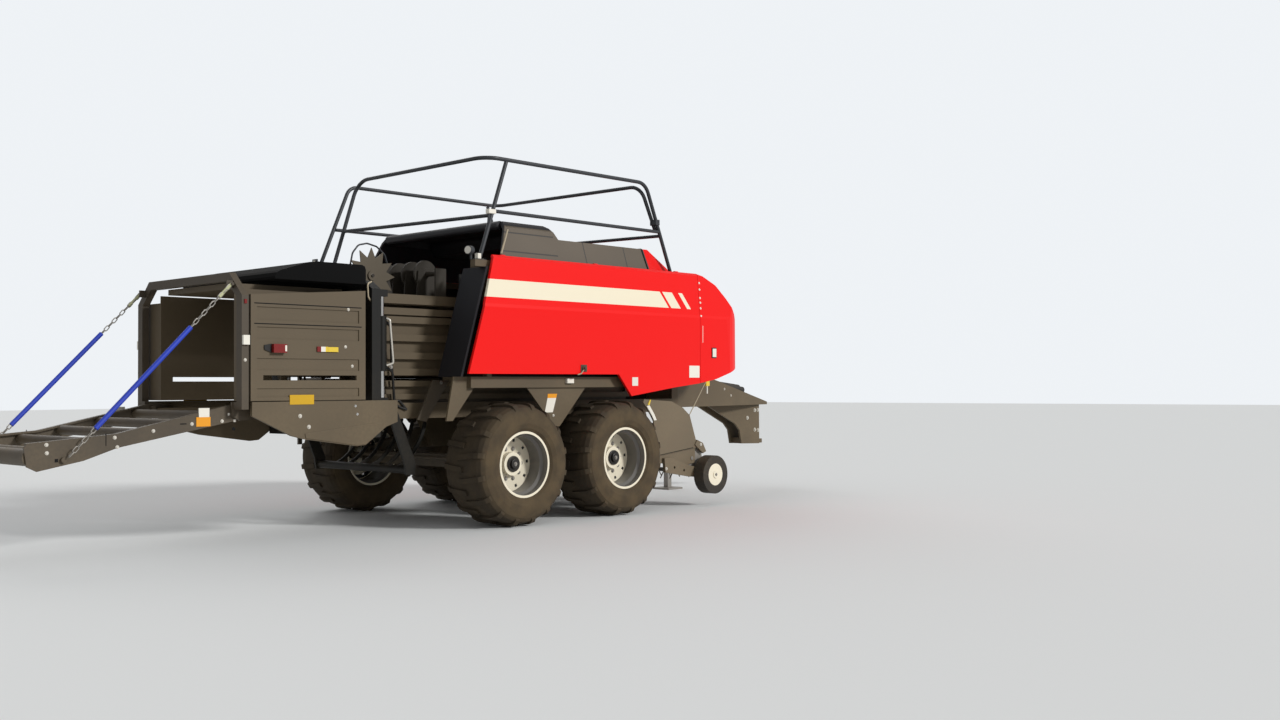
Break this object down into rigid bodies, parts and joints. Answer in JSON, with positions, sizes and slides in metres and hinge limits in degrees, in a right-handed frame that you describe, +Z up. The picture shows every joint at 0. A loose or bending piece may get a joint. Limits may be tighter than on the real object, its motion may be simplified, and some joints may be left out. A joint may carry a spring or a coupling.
{
  "type": "square baler",
  "caption": "towed large square baler on a steered tandem axle with density doors, bale chute, red side shields, handrail, pickup, drawbar with jack, and jointed drive shaft",
  "frame": {"origin": "on the ground under the middle of the machine's box", "axes": "+X forward to the towing vehicle, +Y to the machine's left, +Z up"},
  "size_m": [9.3936, 2.86, 3.366],
  "materials": {
    "chassis_paint": "satin dark grey paint",
    "cover_paint": "satin black paint",
    "shield_paint": "gloss red paint",
    "rim_paint": "satin cream paint",
    "tyre_rubber": "dusty matte tread",
    "gauge_rubber": "matte",
    "bright_metal": "worn bare metal",
    "guard_plastic": "matte black guard",
    "lamp_lens": "glossy lens"
  },
  "bodies": {
    "chassis": {"main_frame": "chassis_paint", "axle_front": "chassis_paint", "axle_rear": "chassis_paint", "bogie_beams": "chassis_paint", "chamber_wall_left": "chassis_paint", "chamber_wall_right": "chassis_paint", "chamber_floor": "chassis_paint", "chamber_top": "chassis_paint", "lower_skirts": "chassis_paint", "tension_yoke": "chassis_paint", "density_cylinders": "bright_metal", "rear_portal": "chassis_paint", "star_wheel_arm": "chassis_paint", "needle_yoke": "chassis_paint", "knotter_stack": "bright_metal", "side_frame_left": "chassis_paint", "side_frame_right": "chassis_paint", "twine_boxes": "chassis_paint", "rear_quarters": "chassis_paint", "roof_cover": "cover_paint", "rail_near_loop": "chassis_paint", "rail_far_loop": "chassis_paint", "rail_middle": "chassis_paint", "ladder": "chassis_paint", "front_hood": "shield_paint", "drawbar": "chassis_paint", "main_gearbox": "chassis_paint", "jack_sleeve": "chassis_paint", "feeder_duct": "chassis_paint"},
    "door_left": {"door_left": "chassis_paint", "lamp_left": "lamp_lens"},
    "door_right": {"door_right": "chassis_paint", "lamp_right": "lamp_lens"},
    "door_top": {"door_top": "chassis_paint", "door_top_cover": "cover_paint"},
    "shield_left": {"shield_left": "shield_paint"},
    "shield_right": {"shield_right": "shield_paint"},
    "wheel_front_left": {"rim_front_left": "rim_paint", "tyre_front_left": "tyre_rubber"},
    "wheel_front_right": {"rim_front_right": "rim_paint", "tyre_front_right": "tyre_rubber"},
    "knuckle_left": {"knuckle_left": "chassis_paint"},
    "knuckle_right": {"knuckle_right": "chassis_paint"},
    "wheel_rear_left": {"rim_rear_left": "rim_paint", "tyre_rear_left": "tyre_rubber"},
    "wheel_rear_right": {"rim_rear_right": "rim_paint", "tyre_rear_right": "tyre_rubber"},
    "tie_rod": {"tie_rod": "bright_metal"},
    "star_wheel": {"star_wheel": "bright_metal"},
    "flywheel": {"flywheel": "chassis_paint"},
    "drive_shaft": {"drive_shaft": "guard_plastic"},
    "jack_leg": {"jack_leg": "bright_metal"},
    "pickup_frame": {"pickup_frame": "chassis_paint"},
    "pickup_reel": {"pickup_reel": "bright_metal"},
    "gauge_wheel_left": {"gauge_wheel_left": "gauge_rubber"},
    "gauge_wheel_right": {"gauge_wheel_right": "gauge_rubber"},
    "chute": {"chute_frame": "chassis_paint"},
    "chute_chains": {"chute_chains": "bright_metal"}
  },
  "joints": [
    {"name": "steer_left", "type": "hinge", "parent": "chassis", "child": "knuckle_left", "pos_m": [-0.60819, 0.98, 0.56], "axis": [0, 0, 1], "range_deg": [-12, 12]},
    {"name": "steer_right", "type": "hinge", "parent": "chassis", "child": "knuckle_right", "pos_m": [-0.60819, -0.98, 0.56], "axis": [0, 0, 1], "range_deg": [-12, 12]},
    {"name": "tie_rod_pin", "type": "hinge", "parent": "knuckle_left", "child": "tie_rod", "pos_m": [-0.80319, 0.98, 0.594], "axis": [0, 0, 1], "range_deg": [-12, 12]},
    {"name": "spin_front_left", "type": "hinge", "parent": "chassis", "child": "wheel_front_left", "pos_m": [0.70181, 1.155, 0.56], "axis": [0, 1, 0], "continuous": true},
    {"name": "spin_front_right", "type": "hinge", "parent": "chassis", "child": "wheel_front_right", "pos_m": [0.70181, -1.155, 0.56], "axis": [0, 1, 0], "continuous": true},
    {"name": "spin_rear_left", "type": "hinge", "parent": "knuckle_left", "child": "wheel_rear_left", "pos_m": [-0.60819, 1.155, 0.56], "axis": [0, 1, 0], "continuous": true},
    {"name": "spin_rear_right", "type": "hinge", "parent": "knuckle_right", "child": "wheel_rear_right", "pos_m": [-0.60819, -1.155, 0.56], "axis": [0, 1, 0], "continuous": true},
    {"name": "door_left_swing", "type": "hinge", "parent": "chassis", "child": "door_left", "pos_m": [-1.89819, 0.645, 1.5], "axis": [0, 0, 1], "range_deg": [0, 3]},
    {"name": "door_right_swing", "type": "hinge", "parent": "chassis", "child": "door_right", "pos_m": [-1.89819, -0.645, 1.5], "axis": [0, 0, -1], "range_deg": [0, 3]},
    {"name": "door_top_swing", "type": "hinge", "parent": "chassis", "child": "door_top", "pos_m": [-1.89819, 0, 2.08], "axis": [0, -1, 0], "range_deg": [0, 3]},
    {"name": "shield_left_lift", "type": "hinge", "parent": "chassis", "child": "shield_left", "pos_m": [0.60681, 1.15, 2.44], "axis": [1, 0, 0], "range_deg": [0, 75]},
    {"name": "shield_right_lift", "type": "hinge", "parent": "chassis", "child": "shield_right", "pos_m": [0.60681, -1.15, 2.44], "axis": [-1, 0, 0], "range_deg": [0, 75]},
    {"name": "star_wheel_spin", "type": "hinge", "parent": "chassis", "child": "star_wheel", "pos_m": [-1.47319, -0.29, 2.275], "axis": [0, 1, 0], "continuous": true},
    {"name": "flywheel_spin", "type": "hinge", "parent": "chassis", "child": "flywheel", "pos_m": [2.42181, 0, 1.38], "axis": [1, 0, 0], "continuous": true},
    {"name": "drive_shaft_spin", "type": "hinge", "parent": "chassis", "child": "drive_shaft", "pos_m": [2.62681, 0, 1.38], "axis": [0.9945, 0, -0.1045], "continuous": true},
    {"name": "jack_slide", "type": "slide", "parent": "chassis", "child": "jack_leg", "axis": [0, 0, 1], "range_m": [0, 0.3]},
    {"name": "pickup_lift", "type": "hinge", "parent": "chassis", "child": "pickup_frame", "pos_m": [1.49681, 0, 0.76], "axis": [0, -1, 0], "range_deg": [-5, 14]},
    {"name": "reel_spin", "type": "hinge", "parent": "pickup_frame", "child": "pickup_reel", "pos_m": [1.89681, 0, 0.5], "axis": [0, 1, 0], "continuous": true},
    {"name": "gauge_spin_left", "type": "hinge", "parent": "pickup_frame", "child": "gauge_wheel_left", "pos_m": [2.08181, 1.333, 0.325], "axis": [0, 1, 0], "continuous": true},
    {"name": "gauge_spin_right", "type": "hinge", "parent": "pickup_frame", "child": "gauge_wheel_right", "pos_m": [2.08181, -1.333, 0.325], "axis": [0, 1, 0], "continuous": true},
    {"name": "chute_fold", "type": "hinge", "parent": "chassis", "child": "chute", "pos_m": [-3.06319, 0, 1.09], "axis": [0, 1, 0], "range_deg": [0, 85]},
    {"name": "chain_swing", "type": "hinge", "parent": "chassis", "child": "chute_chains", "pos_m": [-3.13319, 0.765, 2.08], "axis": [0, 1, 0], "range_deg": [-43, 0]}
  ],
  "couplings": [
    {"joint": "steer_right", "follows": "steer_left", "ratio": 1},
    {"joint": "tie_rod_pin", "follows": "steer_left", "ratio": -1},
    {"joint": "drive_shaft_spin", "follows": "flywheel_spin", "ratio": 1},
    {"joint": "chain_swing", "follows": "chute_fold", "ratio": -0.5}
  ]
}
